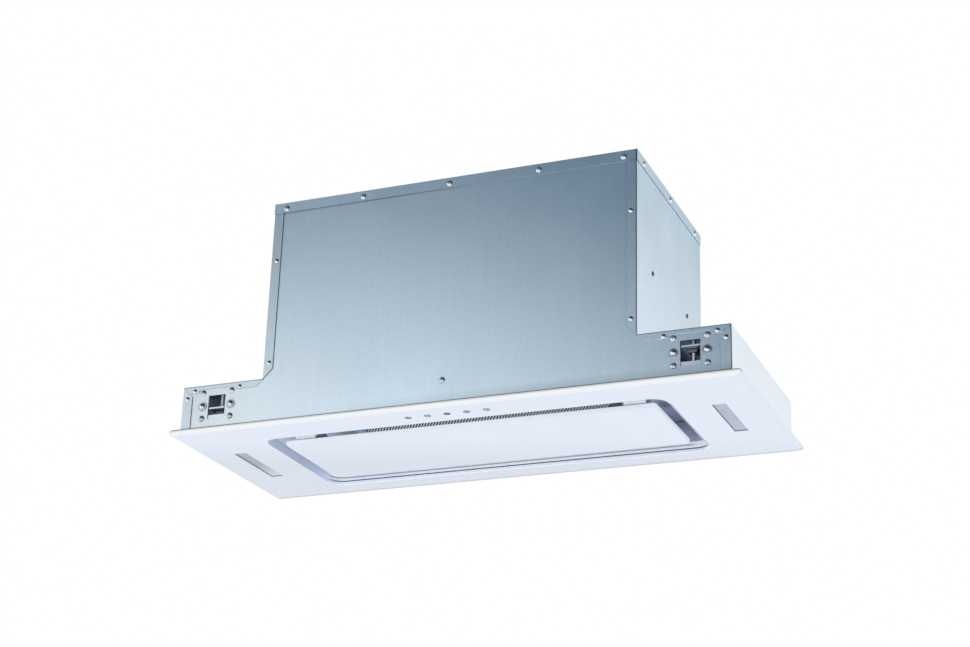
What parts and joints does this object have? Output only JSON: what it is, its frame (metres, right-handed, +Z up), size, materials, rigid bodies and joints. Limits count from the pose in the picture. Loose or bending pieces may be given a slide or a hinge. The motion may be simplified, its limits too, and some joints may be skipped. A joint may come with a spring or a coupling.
{
  "type": "built-in range hood",
  "caption": "Built-in range hood: white glass plate with a hinged perimeter-suction panel, lamps and touch keys under a galvanised casing with a top duct spigot.",
  "frame": {"origin": "middle of the glass plate's underside", "axes": "+Z up towards the duct, +X to the right along the plate, the front faces -Y"},
  "size_m": [0.74, 0.294, 0.345],
  "materials": {
    "white_glass": "back-painted white, polished face and ground edge",
    "galvanised_steel": "hot-dip galvanised, fine mottled grain",
    "polished_steel": "polished",
    "bright_hardware": "bright zinc plate",
    "zinc_clamp_steel": "zinc plated",
    "filter_aluminium": "bare mesh",
    "black_plastic": "moulded",
    "grey_plastic": "moulded",
    "frosted_lens": "frosted",
    "foam_rubber": "closed-cell foam",
    "circuit_board": "solder mask",
    "impeller_plastic": "moulded",
    "motor_paint": "satin"
  },
  "bodies": {
    "casing": {"glass_frame": "white_glass", "front_panel": "galvanised_steel", "rear_panel": "galvanised_steel", "left_side_sheet": "galvanised_steel", "right_side_sheet": "galvanised_steel", "top_cover": "galvanised_steel", "intake_well": "polished_steel", "well_ceiling_plate": "polished_steel", "casing_screws": "bright_hardware", "casing_rivets": "bright_hardware", "clamp_fixing_screws": "bright_hardware", "clamp_washer_bolts": "bright_hardware", "spigot_screws": "bright_hardware", "panel_hinge_brackets": "bright_hardware", "panel_hinge_pins": "bright_hardware", "well_braces": "bright_hardware", "flap_pin": "bright_hardware", "clamp_brackets": "zinc_clamp_steel", "filter_frame": "filter_aluminium", "filter_mesh": "filter_aluminium", "cable_gland": "black_plastic", "gland_nut": "black_plastic", "outlet_spigot": "black_plastic", "panel_catches": "grey_plastic", "scroll_left": "grey_plastic", "scroll_right": "grey_plastic", "led_housings": "grey_plastic", "touch_cover": "grey_plastic", "control_box": "grey_plastic", "control_box_cover": "grey_plastic", "terminal_block": "grey_plastic", "led_lens_left": "frosted_lens", "led_lens_right": "frosted_lens", "rim_seal": "foam_rubber", "motor_rubber_mounts": "foam_rubber", "touch_board": "circuit_board", "led_boards": "circuit_board", "motor": "motor_paint", "motor_bracket": "motor_paint", "motor_capacitor": "motor_paint"},
    "suction_panel": {"suction_panel_glass": "white_glass", "suction_panel_pan": "polished_steel", "panel_strikers": "black_plastic"},
    "fan_wheel": {"impeller": "impeller_plastic", "motor_shaft": "bright_hardware"},
    "front_flap": {"flap_front": "grey_plastic"},
    "rear_flap": {"flap_rear": "grey_plastic"},
    "latch": {"filter_latch": "black_plastic"},
    "spindle_front_left": {"clamp_spindle_front_left": "zinc_clamp_steel"},
    "nut_front_left": {"clamp_nut_front_left": "zinc_clamp_steel"},
    "claw_front_left": {"clamp_claw_front_left": "zinc_clamp_steel"},
    "spindle_front_right": {"clamp_spindle_front_right": "zinc_clamp_steel"},
    "nut_front_right": {"clamp_nut_front_right": "zinc_clamp_steel"},
    "claw_front_right": {"clamp_claw_front_right": "zinc_clamp_steel"},
    "spindle_rear_left": {"clamp_spindle_rear_left": "zinc_clamp_steel"},
    "nut_rear_left": {"clamp_nut_rear_left": "zinc_clamp_steel"},
    "claw_rear_left": {"clamp_claw_rear_left": "zinc_clamp_steel"},
    "spindle_rear_right": {"clamp_spindle_rear_right": "zinc_clamp_steel"},
    "nut_rear_right": {"clamp_nut_rear_right": "zinc_clamp_steel"},
    "claw_rear_right": {"clamp_claw_rear_right": "zinc_clamp_steel"}
  },
  "joints": [
    {"name": "panel_hinge", "type": "hinge", "parent": "casing", "child": "suction_panel", "pos_m": [0, 0.055, 0.018], "axis": [1, 0, 0], "range_deg": [0, 85]},
    {"name": "fan_spin", "type": "hinge", "parent": "casing", "child": "fan_wheel", "pos_m": [0, -0.02, 0.185], "axis": [1, 0, 0], "continuous": true},
    {"name": "front_flap_hinge", "type": "hinge", "parent": "casing", "child": "front_flap", "pos_m": [0, 0.038, 0.3213], "axis": [-1, 0, 0], "range_deg": [0, 80]},
    {"name": "rear_flap_hinge", "type": "hinge", "parent": "casing", "child": "rear_flap", "pos_m": [0, 0.038, 0.3213], "axis": [1, 0, 0], "range_deg": [0, 80]},
    {"name": "filter_latch_slide", "type": "slide", "parent": "casing", "child": "latch", "axis": [0, 1, 0], "range_m": [0, 0.008], "stiffness_N_per_m": 100, "springref_m": -0.005},
    {"name": "spindle_turn_front_left", "type": "hinge", "parent": "casing", "child": "spindle_front_left", "pos_m": [-0.3083, -0.124, 0.04], "axis": [0, 0, 1], "range_deg": [-2701, 4681]},
    {"name": "nut_lift_front_left", "type": "slide", "parent": "casing", "child": "nut_front_left", "axis": [0, 0, 1], "range_m": [-0.0075, 0.013]},
    {"name": "claw_slide_front_left", "type": "slide", "parent": "nut_front_left", "child": "claw_front_left", "axis": [0, -1, 0], "range_m": [0, 0.014]},
    {"name": "spindle_turn_front_right", "type": "hinge", "parent": "casing", "child": "spindle_front_right", "pos_m": [0.3083, -0.124, 0.04], "axis": [0, 0, 1], "range_deg": [-6301, 1081]},
    {"name": "nut_lift_front_right", "type": "slide", "parent": "casing", "child": "nut_front_right", "axis": [0, 0, 1], "range_m": [-0.0175, 0.003]},
    {"name": "claw_slide_front_right", "type": "slide", "parent": "nut_front_right", "child": "claw_front_right", "axis": [0, -1, 0], "range_m": [0, 0.014]},
    {"name": "spindle_turn_rear_left", "type": "hinge", "parent": "casing", "child": "spindle_rear_left", "pos_m": [-0.3083, 0.124, 0.04], "axis": [0, 0, 1], "range_deg": [-2701, 4681]},
    {"name": "nut_lift_rear_left", "type": "slide", "parent": "casing", "child": "nut_rear_left", "axis": [0, 0, 1], "range_m": [-0.0075, 0.013]},
    {"name": "claw_slide_rear_left", "type": "slide", "parent": "nut_rear_left", "child": "claw_rear_left", "axis": [0, 1, 0], "range_m": [0, 0.014]},
    {"name": "spindle_turn_rear_right", "type": "hinge", "parent": "casing", "child": "spindle_rear_right", "pos_m": [0.3083, 0.124, 0.04], "axis": [0, 0, 1], "range_deg": [-2701, 4681]},
    {"name": "nut_lift_rear_right", "type": "slide", "parent": "casing", "child": "nut_rear_right", "axis": [0, 0, 1], "range_m": [-0.0075, 0.013]},
    {"name": "claw_slide_rear_right", "type": "slide", "parent": "nut_rear_right", "child": "claw_rear_right", "axis": [0, 1, 0], "range_m": [0, 0.014]}
  ],
  "couplings": [
    {"joint": "spindle_turn_front_left", "follows": "nut_lift_front_left", "rad_per_m": 6283.2},
    {"joint": "spindle_turn_front_right", "follows": "nut_lift_front_right", "rad_per_m": 6283.2},
    {"joint": "spindle_turn_rear_left", "follows": "nut_lift_rear_left", "rad_per_m": 6283.2},
    {"joint": "spindle_turn_rear_right", "follows": "nut_lift_rear_right", "rad_per_m": 6283.2}
  ]
}
